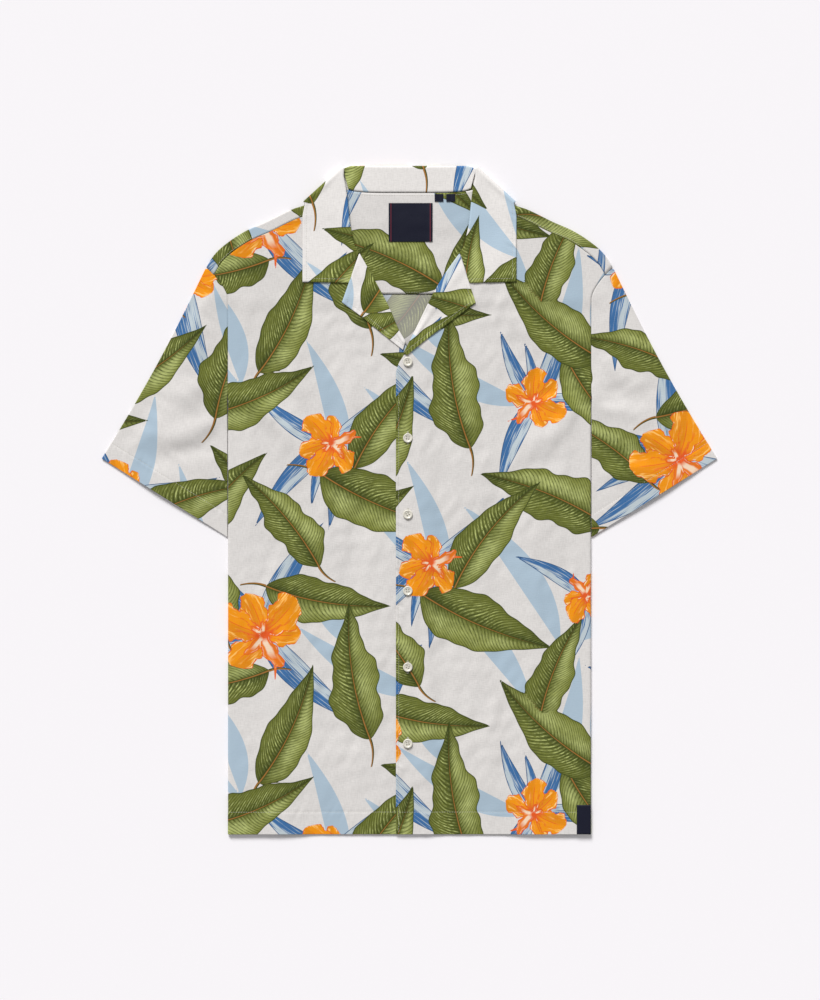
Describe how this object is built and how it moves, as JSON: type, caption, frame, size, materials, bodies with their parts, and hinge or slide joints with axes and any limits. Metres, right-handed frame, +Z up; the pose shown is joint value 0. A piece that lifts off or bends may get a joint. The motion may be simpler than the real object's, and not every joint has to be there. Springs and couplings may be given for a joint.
{
  "type": "short-sleeved camp-collar shirt",
  "caption": "Short-sleeved button-up shirt with an open notched camp collar and a tropical leaf and flower print, laid out flat on its back with its sides folded behind.",
  "frame": {"origin": "middle of the bounding box, on the surface that the shirt lies on", "axes": "+Y from the hem to the collar, +Z up from the surface through the front, +X to the viewer's right, which is the wearer's left"},
  "size_m": [0.7198, 0.7815, 0.008],
  "materials": {
    "printed_cotton_back": "matte",
    "printed_cotton_front_left": "matte",
    "printed_cotton_front_right": "matte",
    "printed_cotton_sleeve_left": "matte",
    "printed_cotton_sleeve_right": "matte",
    "printed_cotton_yoke": "matte",
    "printed_cotton_lining": "matte",
    "printed_cotton_collar": "matte",
    "printed_cotton_lapel_left": "matte",
    "printed_cotton_lapel_right": "matte",
    "shirt_button": "satin",
    "woven_label": "matte"
  },
  "bodies": {
    "root": {"back_panel": "printed_cotton_back", "front_left": "printed_cotton_front_left", "front_right": "printed_cotton_front_right", "sleeve_left": "printed_cotton_sleeve_left", "sleeve_right": "printed_cotton_sleeve_right", "yoke_back": "printed_cotton_yoke", "yoke_lining": "printed_cotton_lining", "collar": "printed_cotton_collar", "lapel_left": "printed_cotton_lapel_left", "lapel_right": "printed_cotton_lapel_right", "button_1": "shirt_button", "button_2": "shirt_button", "button_3": "shirt_button", "button_4": "shirt_button", "button_5": "shirt_button", "button_6": "shirt_button", "neck_label": "woven_label", "neck_tab_1": "woven_label", "neck_tab_2": "woven_label", "side_tab": "woven_label"}
  },
  "joints": []
}
